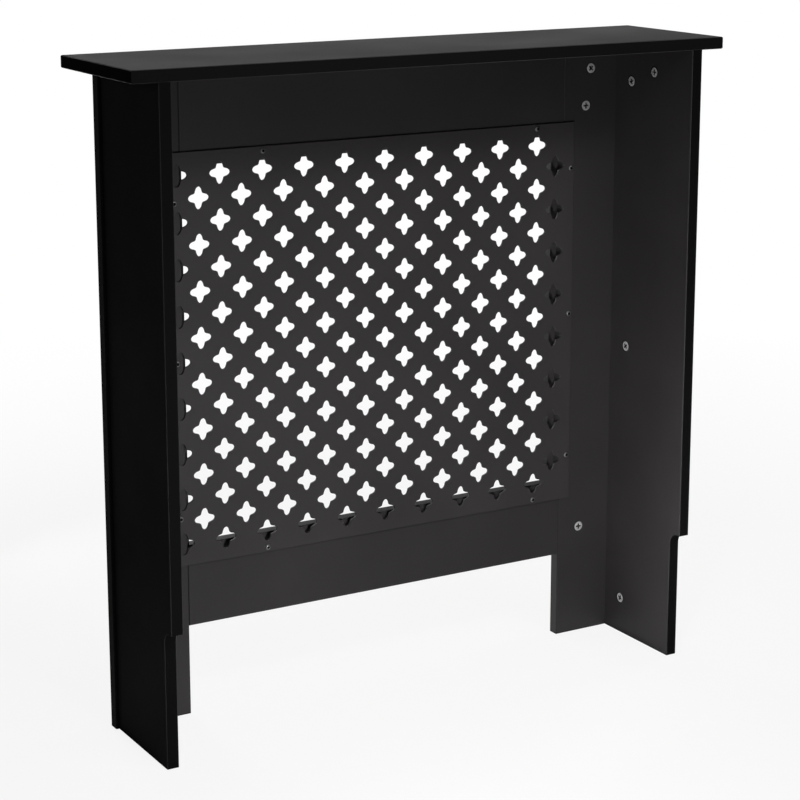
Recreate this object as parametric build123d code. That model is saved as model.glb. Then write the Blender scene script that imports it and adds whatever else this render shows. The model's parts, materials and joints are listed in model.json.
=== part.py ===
from build123d import *
import os

# Radiator cover cabinet: a shelf, two side panels and a front frame with a lattice grille,
# open at the back and underneath. Millimetres. X runs to the right as seen from the room,
# Y runs from the room to the wall, Z is up, and the origin is on the floor at the middle.

# Overall
height = 815.0              # floor to the top of the shelf
shelf_width = 800.0
shelf_depth = 200.0         # front edge to the wall
shelf_thick = 15.0
shelf_edge = 2.0            # rounding of the shelf's front and end edges
side_overhang = 31.5        # shelf beyond each side panel
front_overhang = 25.0       # shelf beyond the front face of the frame
arris = 0.8                 # eased edges of the boards

# Side panels, cut away at the bottom of the back edge for the skirting board
side_thick = 15.0
notch_height = 170.0
notch_depth = 20.0
notch_radius = 15.0

# Front frame: two full-height stiles with a rail between them at the top and the bottom
frame_thick = 15.0
frame_lap = 4.0             # frame beyond the outer face of each side panel
stile_width = 100.0
top_rail_width = 112.0
bottom_rail_width = 89.0
leg_gap = 114.0             # floor to the bottom rail

# Moulding round the grille opening, on the front of the frame
moulding_width = 30.0
moulding_thick = 15.0
moulding_lip = 9.0          # how far it covers the opening
moulding_flat = 8.0         # flat band next to the opening
moulding_step = 1.0         # step down from the band to the cove
moulding_edge = 3.0         # width and thickness of the fillet at the outer edge
cove_radius = 20.0

# Grille panel, fixed to the back of the frame
grille_thick = 3.0
grille_lap_x = 24.5         # mean cover over the stiles
grille_lap_z = 10.5         # cover over the rails
grille_shift = 10.0         # the panel sits this far off the middle of the opening
hole_pitch = 28.2           # from row to row, and half of the step along a row
hole_size = 27.4            # tip to tip of a four-lobed hole
lobe_root = 10.6            # width of a lobe where it leaves the middle
lobe_tip = 5.6              # width of its flat tip
hole_margin = 12.0          # least border between a hole and the panel's edge

# Grille screws
screw_head = 7.0
screw_head_high = 1.8
screw_shank = 3.0
screw_length = 12.0
screw_bite_x = 9.5          # from the edge of a stile
screw_bite_z = 5.0          # from the edge of a rail
screw_corner = 60.0         # from the panel's corners, up its sides
screw_end_left = 58.0       # from the panel's left end, along its top and bottom
screw_end_right = 142.0     # from its right end

# Cam locks
cam_wide = 14.5
cam_tall = 11.8
cam_clear = 0.25            # round a cam and under it
cam_setback = 34.0          # cam axis to the joint that it closes
cam_cap = 2.9               # thickness of the face with the cross recess
cam_hollow = 10.3           # width of the hollow that holds the bolt's head
cam_offset = 0.3            # the hollow is off the axis, so that turning the cam pulls the head
cross_long = 8.0
cross_wide = 1.8
cross_deep = 1.7

# The bolts that the cams pull
bolt_head = 6.0
bolt_head_start = 0.2       # cam axis to the end of the head
bolt_head_long = 3.0
bolt_shank = 4.0
bolt_bite = 10.0            # length screwed into the next board
bolt_room = 0.3             # round the bolt inside the cam
bolt_bore = 8.0
screwed_clear = 0.1         # between a screwed-in shank and its hole
hole_over = 1.0             # blind holes are this much deeper than what goes in

# Where the cams are
side_cam_drop = 50.0        # highest side cam, below the shelf
side_cam_lift = 48.0        # lowest side cam, above the floor
side_shelf_cam_back = 82.0  # side to shelf, behind the frame
stile_shelf_cam_in = 40.0   # stile to shelf, from the side panel
top_rail_cam_up = 30.0      # above the lower edge of the top rail
bottom_rail_cam_up = 34.0   # above the lower edge of the bottom rail

# Dowels that keep the joints in line
dowel_wide = 8.0
dowel_long = 30.0           # half of it is in each board
dowel_clear = 0.1
dowel_drop = 26.0           # from the upper edge of each rail

# Turned pieces and bores are drawn with flats
seen_sides = 12             # cams, their bores and screw heads
hollow_sides = 8            # the hollow in a cam
hidden_sides = 6            # bolts, dowels, shanks and their bores

# Levels and faces that follow from the sizes above
shelf_under = height - shelf_thick
y_wall = shelf_depth / 2
y_front = front_overhang - shelf_depth / 2
y_frame = y_front + frame_thick
y_frame_mid = y_front + frame_thick / 2
y_grille = y_frame + grille_thick
side_out = shelf_width / 2 - side_overhang
side_in = side_out - side_thick
side_mid = side_out - side_thick / 2
frame_half = side_out + frame_lap
stile_in = frame_half - stile_width
opening_top = shelf_under - top_rail_width
opening_low = leg_gap + bottom_rail_width
grille_half = stile_in + grille_lap_x
grille_low = opening_low - grille_lap_z
grille_high = opening_top + grille_lap_z

BACK, FRONT, UP, DOWN = (0, 1, 0), (0, -1, 0), (0, 0, 1), (0, 0, -1)
HANDS = (("left", -1), ("right", 1))


def block(x, y, z):
    """A box from a low and a high value along each axis."""
    ends = [sorted(pair) for pair in (x, y, z)]
    size = [high - low for low, high in ends]
    middle = [(high + low) / 2 for low, high in ends]
    return Pos(*middle) * Box(*size)


def bar(start, along, first, last, wide, sides=hidden_sides):
    """A turned bar or a bore between two distances along a direction."""
    origin = Vector(*start) + Vector(*along) * first
    outline = Plane(origin=origin, z_dir=along) * RegularPolygon(wide / 2, sides)
    return extrude(outline, last - first)


# ---------------------------------------------------------------- where the fasteners go


def cam_places():
    """Each cam lock: its name, the board that holds it and that board's thickness, the middle
    of its face, the way the face looks, the way to the joint, and the board across the joint."""
    places = []
    high, low = shelf_under - side_cam_drop, side_cam_lift
    under = shelf_under - cam_setback
    for hand, s in HANDS:
        inward = (-s, 0, 0)
        side, stile = f"side_panel_{hand}", f"stile_{hand}"
        in_side = (side, side_thick)
        in_stile = (stile, frame_thick)
        for level, z in (("top", high), ("middle", (high + low) / 2), ("bottom", low)):
            face = (s * side_in, y_frame + cam_setback, z)
            places.append((f"cam_side_{hand}_{level}", in_side, face, inward, FRONT, stile))
        face = (s * side_in, y_frame + side_shelf_cam_back, under)
        places.append((f"cam_side_{hand}_shelf", in_side, face, inward, UP, "top_shelf"))
        face = (s * (side_in - stile_shelf_cam_in), y_frame, under)
        places.append((f"cam_stile_{hand}_shelf", in_stile, face, BACK, UP, "top_shelf"))
        for rail, z in (
            ("top_rail", opening_top + top_rail_cam_up),
            ("bottom_rail", leg_gap + bottom_rail_cam_up),
        ):
            face = (s * (stile_in + cam_setback), y_frame, z)
            places.append((f"cam_stile_{hand}_{rail}", in_stile, face, BACK, inward, rail))
    return places


def dowel_places():
    """Each dowel: the middle of the joint, the way into the stile, the rail and the stile."""
    places = []
    for hand, s in HANDS:
        for rail, top in (("top_rail", shelf_under), ("bottom_rail", opening_low)):
            joint = (s * stile_in, y_frame_mid, top - dowel_drop)
            places.append((joint, (s, 0, 0), rail, f"stile_{hand}"))
    return places


def screw_places():
    """Each grille screw: where its head meets the grille, and the board that it bites into."""
    middle = (grille_low + grille_high) / 2
    places = []
    for hand, s in HANDS:
        x = s * (stile_in + screw_bite_x)
        for z in (grille_low + screw_corner, middle, grille_high - screw_corner):
            places.append(((x, y_grille, z), f"stile_{hand}"))
    ends = (screw_end_left - grille_half, grille_half - screw_end_right)
    for rail, z in (
        ("bottom_rail", opening_low - screw_bite_z),
        ("top_rail", opening_top + screw_bite_z),
    ):
        for x in ends:
            places.append(((x + grille_shift, y_grille, z), rail))
    return places


def behind(face, normal, thick):
    """The point in the middle of a board's thickness, below a point on its face."""
    return tuple(p - n * thick / 2 for p, n in zip(face, normal))


def drilled(name, board):
    """The board with the bores that its cams, bolts, dowels and screws need."""
    bores = []
    for _, (holder, thick), face, normal, joint, across in cam_places():
        core = behind(face, normal, thick)
        if name == holder:
            mouth = RegularPolygon(cam_wide / 2 + cam_clear, seen_sides, major_radius=False)
            mouth = Plane(origin=face, x_dir=joint, z_dir=normal) * mouth
            bores.append(extrude(mouth, -cam_tall - cam_clear))
            bores.append(bar(core, joint, 0, cam_setback + hole_over, bolt_bore))
        if name == across:
            end = cam_setback + bolt_bite + hole_over
            bores.append(bar(core, joint, cam_setback - hole_over, end, bolt_shank + 2 * screwed_clear))
    for joint, along, *boards in dowel_places():
        if name in boards:
            reach = dowel_long / 2 + hole_over
            bores.append(bar(joint, along, -reach, reach, dowel_wide + 2 * dowel_clear))
    for head, holder in screw_places():
        if name in (holder, "grille_panel"):
            end = screw_length + hole_over
            bores.append(bar(head, FRONT, -hole_over, end, screw_shank + 2 * screwed_clear))
    return board - bores


# ---------------------------------------------------------------- boards


def top_shelf():
    """The shelf, rounded in front and at both ends and only eased along the wall."""
    half = shelf_width / 2
    board = block((-half, half), (-y_wall, y_wall), (shelf_under, height))
    board = chamfer(board.edges().filter_by(Axis.X).sort_by(Axis.Y)[-2:], arris)
    level = board.edges().filter_by(Axis.Z, reverse=True)
    rounded = [edge for edge in level if (edge @ 0.5).Y < y_wall - shelf_edge]
    return drilled("top_shelf", fillet(rounded, shelf_edge))


def side_panel(hand, s):
    y_notch = y_wall - notch_depth
    notch_end = y_notch + notch_radius
    with BuildSketch(Plane.YZ) as outline:
        with BuildLine():
            Polyline((y_notch, 0), (y_frame, 0), (y_frame, shelf_under), (y_wall, shelf_under))
            Polyline((y_wall, shelf_under), (y_wall, notch_height), (notch_end, notch_height))
            RadiusArc((notch_end, notch_height), (y_notch, notch_height - notch_radius), -notch_radius)
            Line((y_notch, notch_height - notch_radius), (y_notch, 0))
        make_face()
    board = Pos(s * side_mid, 0, 0) * extrude(outline.sketch, side_thick / 2, both=True)
    outer = [edge for edge in board.edges() if abs(abs((edge @ 0.5).X) - side_mid) > arris]
    back = [edge for edge in outer if (edge @ 0.5).Y > y_notch - arris and edge.length > arris * 2]
    back = [edge for edge in back if (edge @ 0.5).Z < shelf_under - arris]
    return drilled(f"side_panel_{hand}", chamfer(back, arris))


def frame_board(name, x, z, eased):
    """A board of the frame, with its edges along the given axes eased."""
    board = block(x, (y_front, y_frame), z)
    edges = [edge for along in eased for edge in board.edges().filter_by(along)]
    return drilled(name, chamfer(edges, arris))


def stile(hand, s):
    return frame_board(f"stile_{hand}", (s * stile_in, s * frame_half), (0, shelf_under), (Axis.Z,))


def rail(name, low, high):
    return frame_board(name, (-stile_in, stile_in), (low, high), (Axis.X, Axis.Z))


# ---------------------------------------------------------------- moulding


def moulding_section():
    """Outwards from the opening in X, out from the frame in Y."""
    cove_start = (moulding_flat, moulding_thick - moulding_step)
    cove_end = (moulding_width - moulding_edge, moulding_edge)
    with BuildSketch() as section:
        with BuildLine():
            Polyline(cove_start, (moulding_flat, moulding_thick), (0, moulding_thick), (0, 0))
            Polyline((0, 0), (moulding_width, 0), (moulding_width, moulding_edge), cove_end)
            RadiusArc(cove_end, cove_start, cove_radius)
        make_face()
    return section.sketch


def moulding(lip, outward, run, half):
    """A length of the moulding from the middle of its lip, cut to 45 degrees at both ends."""
    length = Plane(origin=lip, x_dir=outward, z_dir=run) * moulding_section()
    length = extrude(length, half + moulding_width, both=True)
    far = half + moulding_width
    corners = ((-half, 0), (half, 0), (far, moulding_width), (-far, moulding_width))
    mitred = make_face(Polyline(*corners, close=True).edges())
    mitred = Plane(origin=lip, x_dir=run, z_dir=FRONT) * mitred
    return length & extrude(mitred, moulding_thick)


def mouldings():
    across = stile_in - moulding_lip
    high, low = opening_top - moulding_lip, opening_low + moulding_lip
    middle, upright = (high + low) / 2, (high - low) / 2
    return {
        "moulding_top": moulding((0, y_front, high), UP, (1, 0, 0), across),
        "moulding_bottom": moulding((0, y_front, low), DOWN, (-1, 0, 0), across),
        "moulding_left": moulding((-across, y_front, middle), (-1, 0, 0), UP, upright),
        "moulding_right": moulding((across, y_front, middle), (1, 0, 0), DOWN, upright),
    }


# ---------------------------------------------------------------- grille


def lobed_hole(x, z):
    """The outline of one four-lobed hole about a point."""
    root, tip, reach = lobe_root / 2, lobe_tip / 2, hole_size / 2
    quarter = ((root, root), (tip, reach), (-tip, reach))
    corners = []
    for _ in range(4):
        corners += quarter
        quarter = [(-v, u) for u, v in quarter]
    return Wire.make_polygon([(x + u, z + v, 0) for u, v in corners])


def lattice_holes():
    """Staggered rows of holes, as many as the panel has room for."""
    room_x = 2 * (grille_half - hole_margin) - hole_size
    room_z = grille_high - grille_low - 2 * hole_margin - hole_size
    last_x, last_z = int(room_x / hole_pitch), int(room_z / hole_pitch)
    holes = []
    for row in range(last_z + 1):
        for column in range(last_x + 1):
            if (row + column + last_x + last_z) % 2 == 0:
                x, z = column - last_x / 2, row - last_z / 2
                holes.append(lobed_hole(x * hole_pitch, z * hole_pitch))
    return holes


def grille_panel():
    across, up = grille_half, (grille_high - grille_low) / 2
    corners = [(-across, -up, 0), (across, -up, 0), (across, up, 0), (-across, up, 0)]
    sheet = Face(Wire.make_polygon(corners), lattice_holes())
    middle = (grille_shift, y_frame, (grille_low + grille_high) / 2)
    panel = extrude(Plane(origin=middle, x_dir=(1, 0, 0), z_dir=FRONT) * sheet, -grille_thick)
    return drilled("grille_panel", panel)


# ---------------------------------------------------------------- fasteners


def cam_lock(thick, face, normal, joint):
    """A cam in its locked place: a capped ring with a slot round half of its wall, which ends in
    a mouth that lets the bolt's head in. The bolt comes along X, level with the board's core."""
    core = -thick / 2
    outer = cam_wide / 2
    neck = bolt_shank / 2 + bolt_room
    gape = bolt_head / 2 + bolt_room
    body = extrude(RegularPolygon(outer, seen_sides), -cam_tall)
    hollow = Pos(-cam_offset, -cam_offset, -cam_cap) * RegularPolygon(cam_hollow / 2, hollow_sides)
    slot = block((-cam_wide, cam_wide), (-cam_wide, neck), (core - neck, core + neck))
    mouth = block((-cam_wide, 0), (-gape, gape), (-cam_wide, -cam_cap))
    cross = Rectangle(cross_long, cross_wide) + Rectangle(cross_wide, cross_long)
    body -= [extrude(hollow, -cam_tall), slot, mouth, extrude(cross, -cross_deep)]
    return Plane(origin=face, x_dir=joint, z_dir=normal) * body


def cam_bolt(core, joint):
    head_end = bolt_head_start + bolt_head_long
    head = bar(core, joint, bolt_head_start, head_end, bolt_head)
    return head + bar(core, joint, head_end, cam_setback + bolt_bite, bolt_shank)


def grille_screw(head):
    shank = bar(head, FRONT, 0, screw_length, screw_shank)
    return bar(head, BACK, 0, screw_head_high, screw_head, seen_sides) + shank


def dowel(joint, along):
    return bar(joint, along, -dowel_long / 2, dowel_long / 2, dowel_wide)


# ---------------------------------------------------------------- nodes


def nodes():
    made = {"top_shelf": top_shelf(), "grille_panel": grille_panel()}
    for hand, s in HANDS:
        made[f"side_panel_{hand}"] = side_panel(hand, s)
        made[f"stile_{hand}"] = stile(hand, s)
    made["top_rail"] = rail("top_rail", opening_top, shelf_under)
    made["bottom_rail"] = rail("bottom_rail", leg_gap, opening_low)
    made.update(mouldings())
    bolts = []
    for name, (_, thick), face, normal, joint, _ in cam_places():
        made[name] = cam_lock(thick, face, normal, joint)
        bolts.append(cam_bolt(behind(face, normal, thick), joint))
    made["cam_bolts"] = Compound(bolts)
    made["grille_screws"] = Compound([grille_screw(head) for head, _ in screw_places()])
    made["dowels"] = Compound([dowel(joint, along) for joint, along, *_ in dowel_places()])
    return made


os.makedirs("parts", exist_ok=True)
for node, shape in nodes().items():
    solids = shape.solids()
    export_step(solids[0] if len(solids) == 1 else Compound(solids), f"parts/{node}.step")
    print(node, len(solids))
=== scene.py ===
import json
import math

import bmesh
import bpy
from mathutils import Euler, Matrix, Vector


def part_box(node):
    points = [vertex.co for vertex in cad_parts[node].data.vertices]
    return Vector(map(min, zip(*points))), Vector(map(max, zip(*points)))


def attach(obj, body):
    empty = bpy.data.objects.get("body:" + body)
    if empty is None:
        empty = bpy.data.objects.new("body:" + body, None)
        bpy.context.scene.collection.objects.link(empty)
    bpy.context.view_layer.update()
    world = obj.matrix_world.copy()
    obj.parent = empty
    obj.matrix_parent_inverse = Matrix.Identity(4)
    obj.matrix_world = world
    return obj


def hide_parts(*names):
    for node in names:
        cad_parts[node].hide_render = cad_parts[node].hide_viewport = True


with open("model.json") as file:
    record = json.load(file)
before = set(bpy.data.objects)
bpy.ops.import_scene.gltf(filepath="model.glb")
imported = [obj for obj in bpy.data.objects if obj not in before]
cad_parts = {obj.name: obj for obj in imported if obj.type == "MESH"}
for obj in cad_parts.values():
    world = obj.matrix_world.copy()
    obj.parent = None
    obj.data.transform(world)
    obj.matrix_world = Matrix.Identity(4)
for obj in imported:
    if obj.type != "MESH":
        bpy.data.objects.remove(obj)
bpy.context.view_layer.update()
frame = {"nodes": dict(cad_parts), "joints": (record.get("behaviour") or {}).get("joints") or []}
nodes = frame["nodes"]

# ---- Boards -------------------------------------------------------------------------------
# Shelf, side panels, stiles and rails: fibreboard sprayed with near-black satin paint. The
# edges of the shelf and sides are lipped in dull black, and a painted highlight pales their
# arrises towards the left end. The arrises of the frame make dark joint lines, and the frame's
# narrow edges are painted paler as light falling on them.

shelf_face, side_face, frame_face = (0, 0, 1), (1, 0, 0), (0, 1, 0)
side_boards = ("side_panel_left", "side_panel_right")
frame_boards = ("stile_left", "stile_right", "top_rail", "bottom_rail")
paint_deep = (0.0300, 0.0276, 0.0288, 1)
paint_full = (0.0400, 0.0371, 0.0385, 1)
paint_satin, paint_rough = 0.55, (0.60, 0.52)
paint_gloss, lipped_gloss = 0.25, 0.12
cloud_scale, cloud_detail, cloud_ends = 6, 4, (0.3, 0.7)
peel_scale, peel_detail = 900, 2
sway_scale, sway_detail, sway_share = 60, 2, 1.5
dust_scale, nib_ends = 70, (0.05, 0.02)
film_strength, film_deep = 0.35, 0.00012
shelf_lipping = (0.0060, 0.0060, 0.0063, 1)
side_lipping = (0.0030, 0.0030, 0.0031, 1)
# The frame's narrow edges are paler than its faces: painted light, as though lit from the side.
frame_edge_lit = (0.0480, 0.0450, 0.0460, 1)
# Pale arrises of the shelf and sides are a painted highlight.
shelf_arris_highlight = (0.0700, 0.0680, 0.0680, 1)
side_arris_highlight = (0.0400, 0.0380, 0.0385, 1)
frame_arris = (0.0200, 0.0190, 0.0195, 1)
lipping_rough, frame_edge_rough = 0.9, 0.6
edge_turn = (0.55, 0.35)
arris_starts, arris_ends = (0.4, 0.6), (0.97, 0.85)
# The painted arris highlight is full at the left end and fades out towards the right.
highlight_from_x, highlight_by_x = 0.30, -0.10


def node_group(name, inputs, outputs):
    """A shader node group; its inputs are (name, kind of socket, default), its outputs floats."""
    group = bpy.data.node_groups.new(name, "ShaderNodeTree")
    for label, kind, default in inputs:
        socket = group.interface.new_socket(label, in_out="INPUT", socket_type=kind)
        socket.default_value = default
    for label in outputs:
        group.interface.new_socket(label, in_out="OUTPUT", socket_type="NodeSocketFloat")
    return group, group.nodes.new("NodeGroupInput"), group.nodes.new("NodeGroupOutput")


def add(tree, kind, **settings):
    """A node of a kind, with its properties and the values of its named inputs set."""
    made = tree.nodes.new("ShaderNode" + kind)
    for key, value in settings.items():
        if key in made.inputs:
            made.inputs[key].default_value = value
        else:
            setattr(made, key, value)
    return made


def noise(tree, where, scale, detail):
    """Noise from nothing to one over the given coordinates."""
    made = add(tree, "TexNoise", Scale=scale, Detail=detail, Roughness=0.5)
    tree.links.new(where, made.inputs["Vector"])
    return made.outputs["Fac"]


def remap(tree, value, low, high, to_low=0.0, to_high=1.0):
    """A value brought from one span to another and kept inside it."""
    made = add(tree, "MapRange", clamp=True)
    for socket, setting in zip(list(made.inputs)[1:5], (low, high, to_low, to_high)):
        socket.default_value = setting
    tree.links.new(value, made.inputs["Value"])
    return made.outputs["Result"]


def arithmetic(tree, operation, first, second=0):
    """The result of one Math node for values that are numbers or outputs of other nodes."""
    made = add(tree, "Math", operation=operation)
    for socket, value in zip(made.inputs, (first, second)):
        if isinstance(value, (int, float)):
            socket.default_value = value
        else:
            tree.links.new(value, socket)
    return made.outputs["Value"]


def blend_colour(tree, mask, first, second):
    """The first colour where a mask is nothing, the second where it is one."""
    made = add(tree, "Mix", data_type="RGBA")
    tree.links.new(mask, made.inputs["Factor"])
    for socket, value in ((made.inputs[6], first), (made.inputs[7], second)):
        if isinstance(value, tuple):
            socket.default_value = value
        else:
            tree.links.new(value, socket)
    return made.outputs[2]


def board_edge_group():
    """What shows of a board, told by a surface's turn from the board's face: its narrow edges or
    the eased arris between edge and face, and where along the cabinet an arris takes a painted
    highlight."""
    group, ins, outs = node_group(
        "board_edge",
        [("Face Direction", "NodeSocketVector", (0, 0, 1))],
        ("Narrow Edge", "Arris", "Highlight Left"),
    )
    surface = add(group, "NewGeometry")
    turn = add(group, "VectorMath", operation="DOT_PRODUCT")
    group.links.new(surface.outputs["Normal"], turn.inputs[0])
    group.links.new(ins.outputs["Face Direction"], turn.inputs[1])
    along = arithmetic(group, "ABSOLUTE", turn.outputs["Value"])
    group.links.new(remap(group, along, *edge_turn), outs.inputs["Narrow Edge"])
    rising, falling = remap(group, along, *arris_starts), remap(group, along, *arris_ends)
    group.links.new(arithmetic(group, "MULTIPLY", rising, falling), outs.inputs["Arris"])
    place = add(group, "SeparateXYZ")
    group.links.new(add(group, "TexCoord").outputs["Object"], place.inputs[0])
    # Painted arris highlight: one at the cabinet's left end, nothing towards its right.
    worn = remap(group, place.outputs["X"], highlight_from_x, highlight_by_x)
    group.links.new(worn, outs.inputs["Highlight Left"])
    return group


def paint_film_group():
    """Satin paint: broad cloudy tone, the fine peel of a sprayed film and a few dust nibs."""
    group, ins, outs = node_group(
        "paint_film",
        [
            ("Cloud Scale", "NodeSocketFloat", cloud_scale),
            ("Peel Scale", "NodeSocketFloat", peel_scale),
        ],
        ("Tone", "Height"),
    )
    place = add(group, "TexCoord").outputs["Object"]
    cloud = noise(group, place, cloud_scale, cloud_detail)
    peel = noise(group, place, peel_scale, peel_detail)
    group.links.new(ins.outputs["Cloud Scale"], cloud.node.inputs["Scale"])
    group.links.new(ins.outputs["Peel Scale"], peel.node.inputs["Scale"])
    group.links.new(remap(group, cloud, *cloud_ends), outs.inputs["Tone"])
    dust = add(group, "TexVoronoi", Scale=dust_scale)
    group.links.new(place, dust.inputs["Vector"])
    nib = remap(group, dust.outputs["Distance"], *nib_ends)
    sway = noise(group, place, sway_scale, sway_detail)
    height = arithmetic(group, "ADD", peel, arithmetic(group, "MULTIPLY", sway, sway_share))
    group.links.new(arithmetic(group, "ADD", height, nib), outs.inputs["Height"])
    return group


board_edge = board_edge_group()
paint_film = paint_film_group()


def material(name, roughness, **settings):
    """A node material whose Principled shader has the given constant inputs."""
    made = bpy.data.materials.new(name)
    made.use_nodes = True
    shader = made.node_tree.nodes["Principled BSDF"]
    shader.inputs["Roughness"].default_value = roughness
    for key, value in settings.items():
        shader.inputs[key.replace("_", " ")].default_value = value
    return made, made.node_tree, shader


def bump(tree, shader, height, strength, depth):
    """Raises the surface by a height, whose full range is worth the given depth in metres."""
    made = add(tree, "Bump", Strength=strength, Distance=depth)
    tree.links.new(height, made.inputs["Height"])
    tree.links.new(made.outputs["Normal"], shader.inputs["Normal"])


def toned(colour, share):
    """A colour made darker or paler."""
    return tuple(share * part for part in colour[:3]) + (1,)


def painted(name, face=None, edge_lipping_or_lit=None, arris_joint_or_highlight=None, lipped=False, paler=1.0):
    """Satin black paint; a board with a face has other tones on its narrow edges and arrises:
    lipping or a paler edge painted as light, dark joint lines or a painted highlight.
    """
    gloss = lipped_gloss if lipped else paint_gloss
    made, tree, shader = material(name, paint_satin, Specular_IOR_Level=gloss)
    film = add(tree, "Group", node_tree=paint_film)
    cloud = film.outputs["Tone"]
    colour = blend_colour(tree, cloud, toned(paint_deep, paler), toned(paint_full, paler))
    rough = remap(tree, cloud, 0, 1, *paint_rough)
    if face:
        edge = add(tree, "Group", node_tree=board_edge)
        edge.inputs["Face Direction"].default_value = face
        narrow, arris = edge.outputs["Narrow Edge"], edge.outputs["Arris"]
        # The arrises of the shelf and sides take a painted highlight towards the left end.
        if lipped:
            arris = arithmetic(tree, "MULTIPLY", arris, edge.outputs["Highlight Left"])
        # Narrow edges: dull lipping, or on the frame a paler edge painted as light.
        colour = blend_colour(tree, narrow, colour, edge_lipping_or_lit)
        colour = blend_colour(tree, arris, colour, arris_joint_or_highlight)
        edge_rough = lipping_rough if lipped else frame_edge_rough
        rough = arithmetic(tree, "MAXIMUM", rough, remap(tree, narrow, 0, 1, 0, edge_rough))
    tree.links.new(colour, shader.inputs["Base Color"])
    tree.links.new(rough, shader.inputs["Roughness"])
    bump(tree, shader, film.outputs["Height"], film_strength, film_deep)
    return made


def finish_node(name, made):
    """Gives a piece that keeps its own solid its finish."""
    for slot in nodes[name].material_slots:
        slot.material = made


shelf_paint = painted("top_shelf_paint", shelf_face, shelf_lipping, shelf_arris_highlight, lipped=True)
finish_node("top_shelf", shelf_paint)
for board in side_boards:
    side_paint = painted(f"{board}_paint", side_face, side_lipping, side_arris_highlight, lipped=True)
    finish_node(board, side_paint)
for board in frame_boards:
    # The frame boards' narrow edges carry painted light; their arrises are dark joint lines.
    finish_node(board, painted(f"{board}_paint", frame_face, frame_edge_lit, frame_arris))

# ---- Moulding -----------------------------------------------------------------------------
# Four lengths of painted moulding, mitred at the corners and glued round the opening: a flat
# lip with a softened nose, a step, a cove and a thin outer fillet.

lip_wide, lip_thick, lip_step = 0.008, 0.015, 0.001
nose_radius, nose_steps = 0.0012, 4
mould_wide, mould_edge = 0.030, 0.003
cove_radius, cove_steps = 0.020, 10
# The moulding's paint is paler than the boards': painted light on its lip and nose, seen through
# the holes.
moulding_painted_light = 1.5
smooth_below = 35


def arc(centre, radius, start, end, steps):
    """Points on an arc between two angles in degrees."""
    turns = [math.radians(start + (end - start) * i / steps) for i in range(steps + 1)]
    return [(centre[0] + radius * math.cos(t), centre[1] + radius * math.sin(t)) for t in turns]


def cove_points():
    """The hollow between the step and the outer fillet, as an arc of the cove's radius."""
    a = Vector((lip_wide, lip_thick - lip_step))
    b = Vector((mould_wide - mould_edge, mould_edge))
    half = (b - a) / 2
    rise = math.sqrt(cove_radius**2 - half.length_squared)
    centre = a + half + Vector((-half.y, half.x)).normalized() * rise
    angles = [math.degrees(math.atan2(p.y - centre.y, p.x - centre.x)) for p in (a, b)]
    return arc(centre, cove_radius, *angles, cove_steps)


small_nose = nose_radius / 2
moulding_section = [
    (0, 0),
    *arc((nose_radius, lip_thick - nose_radius), nose_radius, 180, 90, nose_steps),
    *arc((lip_wide - small_nose, lip_thick - small_nose), small_nose, 90, 0, nose_steps),
    *cove_points(),
    (mould_wide, mould_edge),
    (mould_wide, 0),
]


def built(name, build):
    """The mesh of a function that fills an empty bmesh."""
    grid = bmesh.new()
    build(grid)
    bmesh.ops.recalc_face_normals(grid, faces=grid.faces)
    mesh = bpy.data.meshes.new(name)
    grid.to_mesh(mesh)
    grid.free()
    return mesh


def piece_of(mesh, finish, sharp_above=smooth_below):
    """A mesh put in the scene with its finish, smooth but for edges sharper than some degrees."""
    mesh.polygons.foreach_set("use_smooth", [True] * len(mesh.polygons))
    mesh.set_sharp_from_angle(angle=math.radians(sharp_above))
    piece = bpy.data.objects.new(mesh.name, mesh)
    bpy.context.scene.collection.objects.link(piece)
    mesh.materials.clear()
    mesh.materials.append(finish)
    return piece


def skin(grid, rings):
    """Quads between neighbouring rings of points, each ring closed on itself."""
    made = [[grid.verts.new(point) for point in ring] for ring in rings]
    for near, far in zip(made, made[1:]):
        for i in range(len(near)):
            j = (i + 1) % len(near)
            grid.faces.new((near[i], near[j], far[j], far[i]))
    return made


def solid_skin(grid, rings):
    """A skin over rings of points, closed by a face at both ends."""
    made = skin(grid, rings)
    for ring in (made[0], made[-1]):
        grid.faces.new(ring)


def moulding_length(corner, outward, along, half):
    """One length from a lip corner: outward from the opening, out of the frame and along."""

    def build(grid):
        ends = []
        for sign in (-1, 1):
            ring = []
            for out, up in moulding_section:
                place = corner + outward * out + Vector((0, -1, 0)) * up
                ring.append(place + along * sign * (half + out))
            ends.append(ring)
        solid_skin(grid, ends)

    return build


# Paler paint on the moulding stands in for light falling on it.
moulding_paint = painted("moulding_paint", paler=moulding_painted_light)
top_low, top_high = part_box("moulding_top")
frame_front = top_high.y
lip_x = top_high.x - mould_wide
lip_top = top_low.z
lip_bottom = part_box("moulding_bottom")[1].z
lip_middle = (lip_top + lip_bottom) / 2
lip_z = (lip_top - lip_bottom) / 2
for side, corner, outward, along, half in (
    ("top", (0, lip_top), (0, 1), (1, 0), lip_x),
    ("bottom", (0, lip_bottom), (0, -1), (-1, 0), lip_x),
    ("left", (-lip_x, lip_middle), (-1, 0), (0, 1), lip_z),
    ("right", (lip_x, lip_middle), (1, 0), (0, -1), lip_z),
):
    start = Vector((corner[0], frame_front, corner[1]))
    reach, run = Vector((outward[0], 0, outward[1])), Vector((along[0], 0, along[1]))
    length_mesh = built(f"moulding_{side}_run", moulding_length(start, reach, run, half))
    length = piece_of(length_mesh, moulding_paint)
    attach(length, "cabinet")
    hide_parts(f"moulding_{side}")

# ---- Grille -------------------------------------------------------------------------------
# One thin sheet behind the frame, cut through with staggered rows of four-lobed holes and then
# painted. The cutter leaves each rim very slightly eased.

hole_pitch, hole_margin = 0.0282, 0.012
hole_mean, hole_wave = 0.01085, 0.00285
hole_lobes, hole_steps = 4, 40
rim_ease = 0.0003
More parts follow.
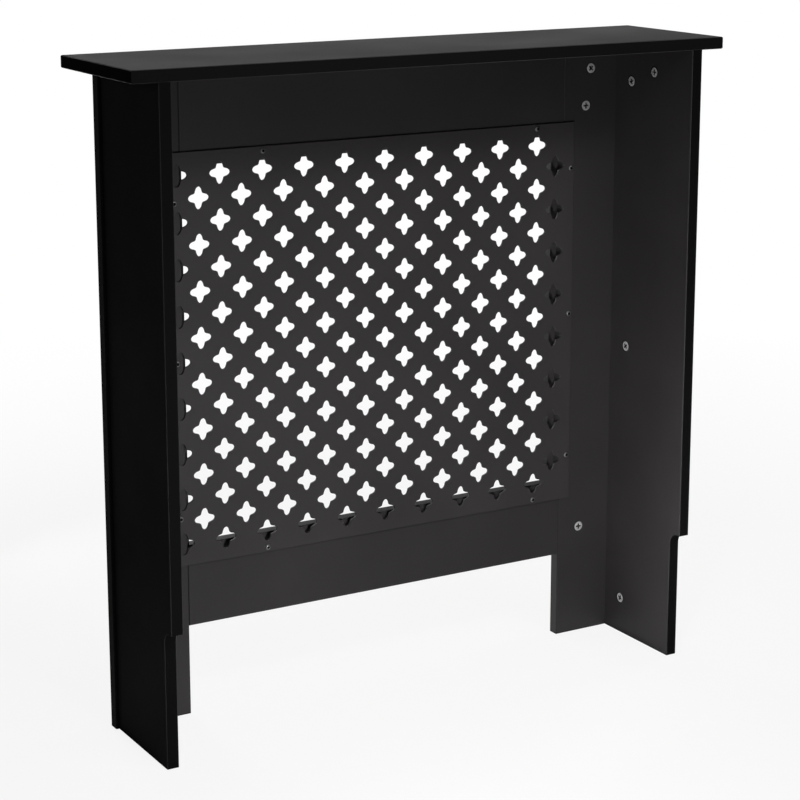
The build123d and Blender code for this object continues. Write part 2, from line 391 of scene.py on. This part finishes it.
# The sheet's paint is paler than the boards': painted light, so that it reads lighter than the
# frame beside it.
grille_painted_light = 1.22
grille_sharp = 30


def lobed_ring(x, z, y, grow):
    """A four-lobed outline: the radius swings four times round the hole."""
    ring = []
    for i in range(hole_steps):
        turn = 2 * math.pi * i / hole_steps
        radius = hole_mean + grow + hole_wave * math.cos(hole_lobes * turn)
        ring.append((x + radius * math.cos(turn), y, z + radius * math.sin(turn)))
    return ring


def hole_centres(low, high):
    """The lattice: alternate places of a square grid, as many as the sheet has room for."""
    border = hole_margin + hole_mean + hole_wave
    middle = (low + high) / 2
    last_x = int((high.x - low.x - 2 * border) / hole_pitch)
    last_z = int((high.z - low.z - 2 * border) / hole_pitch)
    centres = []
    for row in range(last_z + 1):
        for column in range(last_x + 1):
            if (row + column + last_x + last_z) % 2 == 0:
                x = middle.x + (column - last_x / 2) * hole_pitch
                z = middle.z + (row - last_z / 2) * hole_pitch
                centres.append((x, z))
    return centres


def build_grille(grid):
    low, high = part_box("grille_panel")

    def outline(y, inset):
        x0, x1, z0, z1 = low.x + inset, high.x - inset, low.z + inset, high.z - inset
        return [(x0, y, z0), (x1, y, z0), (x1, y, z1), (x0, y, z1)]

    levels = (
        (low.y, rim_ease),
        (low.y + rim_ease, 0),
        (high.y - rim_ease, 0),
        (high.y, rim_ease),
    )
    stacks = [skin(grid, [outline(y, ease) for y, ease in levels])]
    for x, z in hole_centres(low, high):
        stacks.append(skin(grid, [lobed_ring(x, z, y, ease) for y, ease in levels]))
    for level in (0, -1):
        rims = []
        for stack in stacks:
            ring = stack[level]
            rims += [grid.edges.get((ring[i - 1], ring[i])) for i in range(len(ring))]
        bmesh.ops.triangle_fill(grid, use_beauty=True, use_dissolve=False, edges=rims)


# Paler paint on the sheet stands in for light falling on it.
grille_paint = painted("grille_paint", paler=grille_painted_light)
grille = piece_of(built("grille_sheet", build_grille), grille_paint, grille_sharp)
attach(grille, "cabinet")
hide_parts("grille_panel")

# ---- Grille screws ------------------------------------------------------------------------
# Small pan-head screws with a cross recess, of blackened zinc-plated steel. They go through
# the sheet into the back of the frame, and their recesses are painted near-black as shade.

screw_round = 24
pan_radius, pan_high, pan_middle = 0.0035, 0.0018, 0.02
pan_profile = ((0, 1.0), (0.45, 0.98), (0.72, 0.88), (0.9, 0.66), (1.0, 0.3), (1.0, 0.0))
shank_radius, shank_long, shank_tip, shank_point = 0.0015, 0.012, 0.002, 0.0002
thread_pitch, thread_deep = 0.0011, 0.0003
recess_long, recess_wide, recess_deep, recess_taper = 0.0040, 0.0014, 0.0015, 0.5
cutter_over = 0.001
screw_turn_step = 37
# Near-black painted shade for drive recesses and for the gap round a cam's cap.
painted_shade_black = (0.006, 0.006, 0.006, 1)
shade_skin, pan_crown = 0.0001, 0.99
plated_metallic, plated_dull, pit_strength = 0.85, 0.6, 0.3
screw_grey, screw_satin, screw_rough = (0.30, 0.30, 0.31, 1), 0.42, (0.50, 0.37)
screw_pit_deep = 0.00004
weld_gap, place_digits = 1e-6, 5


def turned(grid, profile, around, place=Matrix.Identity(4)):
    """A turned solid about Z from (radius, height) points, closed by a face at both ends."""
    rings = []
    for radius, height in profile:
        ring = []
        for i in range(around):
            turn = 2 * math.pi * i / around
            point = Vector((radius * math.cos(turn), radius * math.sin(turn), height))
            ring.append(place @ point)
        rings.append(ring)
    solid_skin(grid, rings)


def cross_cutter(grid, long, wide, deep, taper, surface=0):
    """A cross-shaped bit that narrows downwards from just above a surface."""
    rings = []
    for height, scale in ((surface + cutter_over, 1), (surface, 1), (surface - deep, taper)):
        a, b = long / 2 * scale, wide / 2 * scale
        corner = [(a, -b), (a, b), (b, b), (b, a), (-b, a), (-b, b)]
        corner += [(-x, -y) for x, y in corner]
        rings.append([(x, y, height) for x, y in corner])
    solid_skin(grid, rings)


def mark_painted_shade(mesh, low, high, reach, rim=math.inf):
    """Marks with a one the faces in a drive recess, or out past a rim, that take painted shade."""
    mark = mesh.attributes.new("painted_shade", "FLOAT", "FACE")
    for face in mesh.polygons:
        middle = face.center
        out = math.hypot(middle.x, middle.y)
        if low < middle.z < high and (out < reach or out > rim):
            mark.data[face.index].value = 1


def cut_mesh(name, build, cutters):
    """The mesh that a building function makes, less each cutter."""
    pieces = []
    for index, maker in enumerate((build, *cutters)):
        mesh = built(f"{name}_{index}", maker)
        piece = bpy.data.objects.new(mesh.name, mesh)
        bpy.context.scene.collection.objects.link(piece)
        pieces.append(piece)
    for cutter in pieces[1:]:
        less = pieces[0].modifiers.new(cutter.name, "BOOLEAN")
        less.operation, less.solver, less.object = "DIFFERENCE", "EXACT", cutter
    graph = bpy.context.evaluated_depsgraph_get()
    cut = bpy.data.meshes.new_from_object(pieces[0].evaluated_get(graph))
    for piece in pieces:
        spare = piece.data
        bpy.data.objects.remove(piece)
        bpy.data.meshes.remove(spare)
    return cut


def worn_metal_group():
    """Dull metal: faint blotches over it and a fine pitted surface."""
    group, ins, outs = node_group(
        "worn_metal",
        [
            ("Blotch Scale", "NodeSocketFloat", 200),
            ("Blotch Detail", "NodeSocketFloat", 3),
            ("Blotch Roughness", "NodeSocketFloat", 0.5),
            ("Blotch Low", "NodeSocketFloat", 0.35),
            ("Blotch High", "NodeSocketFloat", 0.65),
            ("Pit Scale", "NodeSocketFloat", 1200),
            ("Pit Detail", "NodeSocketFloat", 2),
        ],
        ("Blotch", "Pits"),
    )
    place = add(group, "TexCoord").outputs["Object"]
    blotch, pits = noise(group, place, 1, 1), noise(group, place, 1, 1)
    spread = remap(group, blotch, 0, 1)
    for label, socket in (
        ("Blotch Scale", blotch.node.inputs["Scale"]),
        ("Blotch Detail", blotch.node.inputs["Detail"]),
        ("Blotch Roughness", blotch.node.inputs["Roughness"]),
        ("Blotch Low", spread.node.inputs["From Min"]),
        ("Blotch High", spread.node.inputs["From Max"]),
        ("Pit Scale", pits.node.inputs["Scale"]),
        ("Pit Detail", pits.node.inputs["Detail"]),
    ):
        group.links.new(ins.outputs[label], socket)
    group.links.new(spread, outs.inputs["Blotch"])
    group.links.new(pits, outs.inputs["Pits"])
    return group


worn_metal = worn_metal_group()


def metal(name, colour, dull, metallic, satin, rough, pits, **surface):
    """Dull metal: its dull share, its roughness where dull and where light, the strength and
    depth of its pits, the settings of its surface, and painted shade on the faces marked for it."""
    made, tree, shader = material(name, satin, Metallic=metallic)
    worn = add(tree, "Group", node_tree=worn_metal)
    for label, value in surface.items():
        worn.inputs[label.replace("_", " ")].default_value = value
    blotch = worn.outputs["Blotch"]
    bare = blend_colour(tree, blotch, toned(colour, dull), colour)
    # Faces marked for it take near-black painted shade.
    painted_shade = add(tree, "Attribute", attribute_name="painted_shade").outputs["Fac"]
    shaded_colour = blend_colour(tree, painted_shade, bare, painted_shade_black)
    tree.links.new(shaded_colour, shader.inputs["Base Color"])
    tree.links.new(remap(tree, blotch, 0, 1, *rough), shader.inputs["Roughness"])
    bump(tree, shader, worn.outputs["Pits"], *pits)
    return made


def build_screw(grid):
    profile = [(max(out, pan_middle) * pan_radius, up * pan_high) for out, up in pan_profile]
    profile.append((shank_radius, 0))
    for i in range(int((shank_long - shank_tip) / thread_pitch)):
        top = -i * thread_pitch
        profile.append((shank_radius - thread_deep, top - thread_pitch / 2))
        profile.append((shank_radius, top - thread_pitch))
    profile.append((shank_point, -shank_long))
    turned(grid, profile, screw_round)


def cut_screw_recess(grid):
    cross_cutter(grid, recess_long, recess_wide, recess_deep, recess_taper, pan_high)


def copies(name, mesh, places):
    """One mesh of the copies of another at several places; the other is spent."""
    grid = bmesh.new()
    for place in places:
        copy = mesh.copy()
        copy.transform(place)
        grid.from_mesh(copy)
        bpy.data.meshes.remove(copy)
    bpy.data.meshes.remove(mesh)
    joined = bpy.data.meshes.new(name)
    grid.to_mesh(joined)
    grid.free()
    return joined


def solids_of(node):
    """The lowest and highest corner of each separate solid in a node."""
    grid = bmesh.new()
    grid.from_mesh(nodes[node].data)
    bmesh.ops.remove_doubles(grid, verts=grid.verts, dist=weld_gap)
    left, found = set(grid.verts), []
    while left:
        reached = [left.pop()]
        members = list(reached)
        while reached:
            for edge in reached.pop().link_edges:
                for vert in edge.verts:
                    if vert in left:
                        left.remove(vert)
                        reached.append(vert)
                        members.append(vert)
        low = Vector([min(v.co[k] for v in members) for k in range(3)])
        high = Vector([max(v.co[k] for v in members) for k in range(3)])
        found.append((low, high))
    grid.free()
    return sorted(found, key=lambda pair: tuple(round(c, place_digits) for c in pair[0]))


def screw_places():
    """The seats of the screws: each stands behind the sheet with its head towards the wall."""
    seats = []
    for low, high in solids_of("grille_screws"):
        seat = Vector(((low.x + high.x) / 2, high.y - pan_high, (low.z + high.z) / 2))
        turn = Matrix.Rotation(math.radians(screw_turn_step * len(seats)), 4, "Z")
        seats.append(Matrix.Translation(seat) @ Matrix.Rotation(-math.pi / 2, 4, "X") @ turn)
    return seats


screw_steel = metal(
    "screw_steel_worn",
    screw_grey,
    plated_dull,
    plated_metallic,
    screw_satin,
    screw_rough,
    (pit_strength, screw_pit_deep),
    Blotch_Scale=180,
    Pit_Scale=1080,
)
screw_mesh = cut_mesh("pan_screw", build_screw, [cut_screw_recess])
# The cross recess of each screw head is marked for painted shade.
mark_painted_shade(screw_mesh, shade_skin, pan_high * pan_crown, recess_long / 2)
screws = piece_of(copies("grille_screw_set", screw_mesh, screw_places()), screw_steel)
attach(screws, "cabinet")
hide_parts("grille_screws")

# ---- Cam locks ----------------------------------------------------------------------------
# Cast zinc cams that lie flush in the boards. A cross recess turns each one, and the hollow
# behind its cap closes on the head of a bolt in the next board. Each rides on its own body.

cam_round = 48
cam_radius, cam_deep, cam_cap = 0.00725, 0.0118, 0.0029
cam_face, cam_middle, cam_rim_deep, cam_bevel = 0.0063, 0.001, 0.0014, 0.0005
face_ease_wide, face_ease_deep, face_wall_ease = 0.0003, 0.0001, 0.0002
board_core = 0.0075
hollow_radius, hollow_off = 0.00515, 0.0003
neck_half, gape_half = 0.0023, 0.0033
cross_long, cross_wide, cross_deep, cross_taper = 0.0076, 0.0023, 0.0017, 0.55
cross_turns = {"shelf": 0, "middle": 40, "top": 20, "bottom": 65, "rail": 45}
stile_cross_turn = 45
# How far the painted shade in a cam's cross reaches out and down.
cross_shade_reach, cross_shade_deep = 0.52, 1.1
zinc_light = (0.74, 0.74, 0.73, 1)
zinc_dull, zinc_metallic = 0.72, 0.25
zinc_satin, zinc_rough, zinc_pits = 0.4, (0.48, 0.36), (0.4, 0.00005)


def build_cam(grid):
    profile = [(cam_middle, 0), (cam_face - face_ease_wide, 0), (cam_face, -face_ease_deep)]
    profile.append((cam_face + face_wall_ease, face_wall_ease - cam_rim_deep))
    profile += [(cam_radius, -cam_rim_deep), (cam_radius, -cam_deep + cam_bevel)]
    profile.append((cam_radius - cam_bevel, -cam_deep))
    turned(grid, profile, cam_round)


def cut_hollow(grid):
    place = Matrix.Translation((-hollow_off, -hollow_off, 0))
    turned(grid, [(hollow_radius, -cam_cap), (hollow_radius, -2 * cam_deep)], cam_round, place)


def cut_block(x, y, z):
    """A cutter: a plain block between the given limits."""

    def build(grid):
        ring = [(x[0], y[0]), (x[1], y[0]), (x[1], y[1]), (x[0], y[1])]
        solid_skin(grid, [[(a, b, level) for a, b in ring] for level in z])

    return build


def cut_cross(turn):
    """A cutter: the cross recess, turned by some degrees."""

    def build(grid):
        cross_cutter(grid, cross_long, cross_wide, cross_deep, cross_taper)
        grid.transform(Matrix.Rotation(math.radians(turn), 4, "Z"))

    return build


def cam_mesh(turn):
    """A cam in its locked place, the bolt along X; the cross is turned by some degrees."""
    reach = 2 * cam_radius
    slot_z = (-board_core - neck_half, -board_core + neck_half)
    slot = cut_block((-reach, reach), (-reach, neck_half), slot_z)
    mouth = cut_block((-reach, 0), (-gape_half, gape_half), (-2 * cam_deep, -cam_cap))
    mesh = cut_mesh("cam", build_cam, [cut_hollow, slot, mouth, cut_cross(turn)])
    floor_of_cross, reach_of_cross = -cross_shade_deep * cross_deep, cross_shade_reach * cross_long
    # The cross and the sunken step round the cap are painted near-black, as shade in the recess
    # and the bore.
    mark_painted_shade(mesh, floor_of_cross, -shade_skin, reach_of_cross, cam_face)
    return mesh


def cam_places():
    """Each cam lock: its body and a matrix with X along its bolt and Z out of the board."""
    places = []
    for joint in frame["joints"]:
        body, out = joint["child"], Vector(joint["axis"])
        at = Vector(joint["pos_m"])
        if body.endswith("shelf"):
            along = Vector((0, 0, 1))
        elif body.endswith("rail"):
            along = Vector((-math.copysign(1, at.x), 0, 0))
        else:
            along = Vector((0, -1, 0))
        turn = Matrix((along, out.cross(along), out)).transposed().to_4x4()
        places.append((body, Matrix.Translation(at) @ turn))
    return places


cam_zinc = metal(
    "cam_zinc_cast",
    zinc_light,
    zinc_dull,
    zinc_metallic,
    zinc_satin,
    zinc_rough,
    zinc_pits,
    Blotch_Scale=420,
    Blotch_Detail=4,
    Blotch_Roughness=0.6,
    Blotch_Low=0.3,
    Blotch_High=0.7,
    Pit_Scale=1900,
    Pit_Detail=3,
)
for body, place in cam_places():
    turn = cross_turns[body.split("_")[-1]]
    if body.startswith("cam_stile"):
        turn += stile_cross_turn
    cam = piece_of(copies(f"{body}_cast", cam_mesh(turn), [place]), cam_zinc)
    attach(cam, body)
    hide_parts(body)

# ---- Cam bolts ----------------------------------------------------------------------------
# Turned steel bolts: a round head that the cam pulls, a plain shank with a collar, and a coarse
# thread that is screwed into the next board.

bolt_round = 20
bolt_head_radius, bolt_radius, bolt_neck_radius = 0.003, 0.002, 0.0016
bolt_head_start, bolt_head_long, bolt_head_ease = 0.0002, 0.003, 0.0006
bolt_middle, bolt_point = 0.0005, 0.0008
bolt_joint, bolt_bite = 0.034, 0.010
collar_start, collar_full = 0.004, 0.003
bolt_thread_pitch, bolt_thread_deep, bolt_thread_root = 0.0020, 0.0005, (0.3, 0.6)
bolt_grey, bolt_satin, bolt_rough = (0.45, 0.44, 0.40, 1), 0.35, (0.43, 0.30)
bolt_pit_deep = 0.00004


def build_bolt(grid):
    """The bolt lies along X; it is turned about Z and laid down."""
    head, ease = bolt_head_radius, bolt_head_ease
    start, end = bolt_head_start, bolt_head_start + bolt_head_long
    profile = [(bolt_middle, start), (head - 2 * ease, start), (head - ease, start + ease / 2)]
    profile += [(head, start + 2 * ease), (head, end - ease), (head - ease, end)]
    profile += [(bolt_neck_radius, end + ease), (bolt_neck_radius, bolt_joint - collar_start)]
    profile += [(bolt_radius, bolt_joint - collar_full), (bolt_radius, bolt_joint)]
    for i in range(int(bolt_bite / bolt_thread_pitch)):
        along = bolt_joint + i * bolt_thread_pitch
        for share in bolt_thread_root:
            root = bolt_radius - bolt_thread_deep
            profile.append((root, along + bolt_thread_pitch * share))
        profile.append((bolt_radius, along + bolt_thread_pitch))
    profile.append((bolt_point, bolt_joint + bolt_bite))
    turned(grid, profile, bolt_round, Matrix.Rotation(math.pi / 2, 4, "Y"))


bolt_steel = metal(
    "bolt_steel_bright",
    bolt_grey,
    plated_dull,
    plated_metallic,
    bolt_satin,
    bolt_rough,
    (pit_strength, bolt_pit_deep),
    Blotch_Scale=200,
    Pit_Scale=1200,
)
bolt_seats = [place @ Matrix.Translation((0, 0, -board_core)) for _, place in cam_places()]
bolts = piece_of(copies("cam_bolt_set", built("bolt", build_bolt), bolt_seats), bolt_steel)
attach(bolts, "cabinet")
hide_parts("cam_bolts")

# ---- Dowels -------------------------------------------------------------------------------
# Fluted beech dowels with chamfered ends, glued half in the stile and half in the rail. They
# keep the frame's joints in line while the cams pull them shut.

flutes, flute_deep, flute_steps = 18, 0.00025, 4
dowel_ease = 0.001
dowel_sharp = 25
beech_dark, beech_light = (0.42, 0.26, 0.15, 1), (0.62, 0.44, 0.29, 1)
beech_satin, beech_rough = 0.6, (0.7, 0.55)
grain_stretch, grain_detail, grain_ends = (60, 900, 900), 5, (0.35, 0.65)
grain_strength, grain_deep = 0.3, 0.0001


def build_dowels(grid):
    around = flutes * flute_steps
    for low, high in solids_of("dowels"):
        middle, radius = (low + high) / 2, (high.z - low.z) / 2
        rings = []
        for x, inset in (
            (low.x, dowel_ease),
            (low.x + dowel_ease, 0),
            (high.x - dowel_ease, 0),
            (high.x, dowel_ease),
        ):
            ring = []
            for i in range(around):
                turn = 2 * math.pi * i / around
                reach = radius - inset - (flute_deep if i % flute_steps == 0 else 0)
                y, z = middle.y + reach * math.cos(turn), middle.z + reach * math.sin(turn)
                ring.append((x, y, z))
            rings.append(ring)
        solid_skin(grid, rings)


def beech():
    """Pale beech: long grain along X with short darker flecks."""
    made, tree, shader = material("dowel_beech_grain", beech_satin)
    place = add(tree, "TexCoord").outputs["Object"]
    stretch = add(tree, "Mapping", Scale=grain_stretch)
    tree.links.new(place, stretch.inputs["Vector"])
    fibres = noise(tree, stretch.outputs["Vector"], 1, grain_detail)
    grain = remap(tree, fibres, *grain_ends)
    colour = blend_colour(tree, grain, beech_dark, beech_light)
    tree.links.new(colour, shader.inputs["Base Color"])
    tree.links.new(remap(tree, grain, 0, 1, *beech_rough), shader.inputs["Roughness"])
    bump(tree, shader, grain, grain_strength, grain_deep)
    return made


dowels = piece_of(built("dowel_set", build_dowels), beech(), dowel_sharp)
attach(dowels, "cabinet")
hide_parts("dowels")

# ---- Floor, lights and camera -------------------------------------------------------------
# A plain pale floor that looks white, with the cabinet's soft shadow round its feet, soft lamps
# on all sides with a white card underneath, and the camera behind the cabinet, a little above.

white = (1, 1, 1, 1)
floor_half = 30
floor_low, floor_high = (0.76, 0.76, 0.76, 1), (0.80, 0.80, 0.80, 1)
floor_dim = (0.22, 0.22, 0.22, 1)
speck_scale, speck_detail, speck_ends = 40, 3, (0.3, 0.7)
shadow_near, shadow_far, shadow_share = 0.9, 2.2, 0.12
card_x, card_y, card_high, card_strength = (-0.35, 0.35), (-0.6, 0.1), 0.002, 0.95
ambient, mirrored = 0.01, 0.06


def bare_material(name):
    """A material with no shader yet, its tree and the socket that its surface goes to."""
    made = bpy.data.materials.new(name)
    made.use_nodes = True
    tree = made.node_tree
    tree.nodes.remove(tree.nodes["Principled BSDF"])
    return made, tree, tree.nodes["Material Output"].inputs["Surface"]


def level_sheet(name, x, y, z, finish):
    """A level rectangle of one face."""
    ring = ((x[0], y[0]), (x[1], y[0]), (x[1], y[1]), (x[0], y[1]))
    grid = bmesh.new()
    grid.faces.new([grid.verts.new((a, b, z)) for a, b in ring])
    mesh = bpy.data.meshes.new(name)
    grid.to_mesh(mesh)
    grid.free()
    mesh.materials.append(finish)
    sheet = bpy.data.objects.new(name, mesh)
    bpy.context.scene.collection.objects.link(sheet)
    return sheet


def mixed(tree, share, first, second):
    """The first shader where a share is nothing, the second where it is one."""
    made = add(tree, "MixShader")
    tree.links.new(share, made.inputs[0])
    tree.links.new(first.outputs[0], made.inputs[1])
    tree.links.new(second.outputs[0], made.inputs[2])
    return made


def seen_rays(tree):
    """One on a ray from the camera, straight or through glass, and one on a mirrored ray."""
    ray = add(tree, "LightPath").outputs
    seen = arithmetic(tree, "MAXIMUM", ray["Is Camera Ray"], ray["Is Transmission Ray"])
    return seen, ray["Is Glossy Ray"]


def pale_floor():
    """To the camera, an even white that lets some of the lit floor through near the cabinet."""
    made, tree, surface = bare_material("floor_pale")
    place = add(tree, "TexCoord").outputs["Object"]
    away = add(tree, "VectorMath", operation="LENGTH")
    tree.links.new(place, away.inputs[0])
    share = remap(tree, away.outputs["Value"], shadow_near, shadow_far, shadow_share, 0)
    speck = remap(tree, noise(tree, place, speck_scale, speck_detail), *speck_ends)
    even, lit = add(tree, "Emission", Color=white, Strength=1), add(tree, "BsdfDiffuse")
    tree.links.new(blend_colour(tree, speck, floor_low, floor_high), lit.inputs["Color"])
    shown = mixed(tree, share, even, lit)
    seen, _ = seen_rays(tree)
    dim = add(tree, "BsdfDiffuse", Color=floor_dim)
    tree.links.new(mixed(tree, seen, dim, shown).outputs[0], surface)
    return made


def card_white():
    """A plain white glow, seen only as a sheen in the satin paint above the card."""
    made, tree, surface = bare_material("card_white")
    glow = add(tree, "Emission", Color=white, Strength=card_strength)
    tree.links.new(glow.outputs[0], surface)
    return made


def studio_world():
    """White to the camera, a dimmer white in reflections and a low even light on the object."""
    world = bpy.data.worlds.new("studio")
    bpy.context.scene.world = world
    world.use_nodes = True
    tree = world.node_tree
    tree.nodes.clear()
    seen, glossy = seen_rays(tree)
    glossy = arithmetic(tree, "MULTIPLY", glossy, mirrored)
    level = arithmetic(tree, "MAXIMUM", arithmetic(tree, "MAXIMUM", seen, glossy), ambient)
    background = add(tree, "Background", Color=white)
    tree.links.new(level, background.inputs["Strength"])
    out = add(tree, "OutputWorld")
    tree.links.new(background.outputs[0], out.inputs["Surface"])


def softbox(name, place, aim, wide, high, watts, spread=180):
    """A soft lamp that faces a point and doesn't show to the camera; a grid narrows its spread."""
    lamp = bpy.data.lights.new(name, "AREA")
    lamp.shape, lamp.size, lamp.size_y, lamp.energy = "RECTANGLE", wide, high, watts
    lamp.spread = math.radians(spread)
    made = bpy.data.objects.new(name, lamp)
    bpy.context.scene.collection.objects.link(made)
    made.location = place
    made.rotation_euler = (Vector(aim) - Vector(place)).to_track_quat("-Z", "Y").to_euler()
    made.visible_camera = False


floor_span = (-floor_half, floor_half)
floor = level_sheet("floor", floor_span, floor_span, 0, pale_floor())
card = level_sheet("bounce_card", card_x, card_y, card_high, card_white())
card.visible_camera = card.visible_diffuse = card.visible_shadow = False
studio_world()
# Each lamp has its place, the point that it faces, its width, its height, its watts and, where a
# grid is on it, its spread in degrees.
softbox("high_key", (-0.7, 2.0, 2.45), (-0.15, 0, 0.4), 1.9, 0.4, 23)
softbox("near_fill", (0.27, 0.85, 1.3), (-0.3, 0, 0.0), 0.16, 0.4, 0.9)
softbox("low_key", (0.33, 0.7, 0.3), (-0.3, 0, 0.2), 0.06, 0.2, 3.4)
softbox("low_grid", (0.33, 0.7, 0.3), (-0.3, 0, 0.15), 0.06, 0.2, 0.2, 80)
softbox("side_low", (0.02, 0.36, 0.14), (-0.36, 0.13, 0.16), 0.1, 0.25, 0.16, 55)
softbox("side_mid", (0.05, 0.45, 0.42), (-0.36, 0.12, 0.42), 0.1, 0.4, 0.11, 55)
softbox("room_side", (0.0, -2.6, 1.0), (0, 0, 0.4), 0.7, 0.8, 20)
softbox("room_left", (0.25, -0.8, 0.45), (-0.26, 0, 0.45), 0.2, 0.7, 1.2)
softbox("pale_wall", (-1.3, -2.2, 1.5), (0, 0, 0.8), 1.8, 1.0, 5)
softbox("left_wall", (2.6, -0.8, 1.2), (0.37, 0, 0.4), 0.8, 1.0, 1.6)
softbox("right_wall", (-2.6, -0.5, 1.2), (-0.37, 0, 0.4), 0.8, 1.0, 16)

camera_place = (1.3429, 2.2728, 1.0602)
camera_down, camera_azimuth = 12.42, 149.58
camera = bpy.data.objects.new("camera", bpy.data.cameras.new("camera"))
bpy.context.scene.collection.objects.link(camera)
camera.location = camera_place
camera_turn = (math.radians(90 - camera_down), 0, math.radians(camera_azimuth))
camera.rotation_euler = Euler(camera_turn, "XYZ")
camera.data.lens = 99.04
camera.data.sensor_width = 36
camera.data.shift_y = -0.10
camera.data.clip_end = 200
bpy.context.scene.camera = camera
bpy.context.scene.view_settings.view_transform = "Standard"
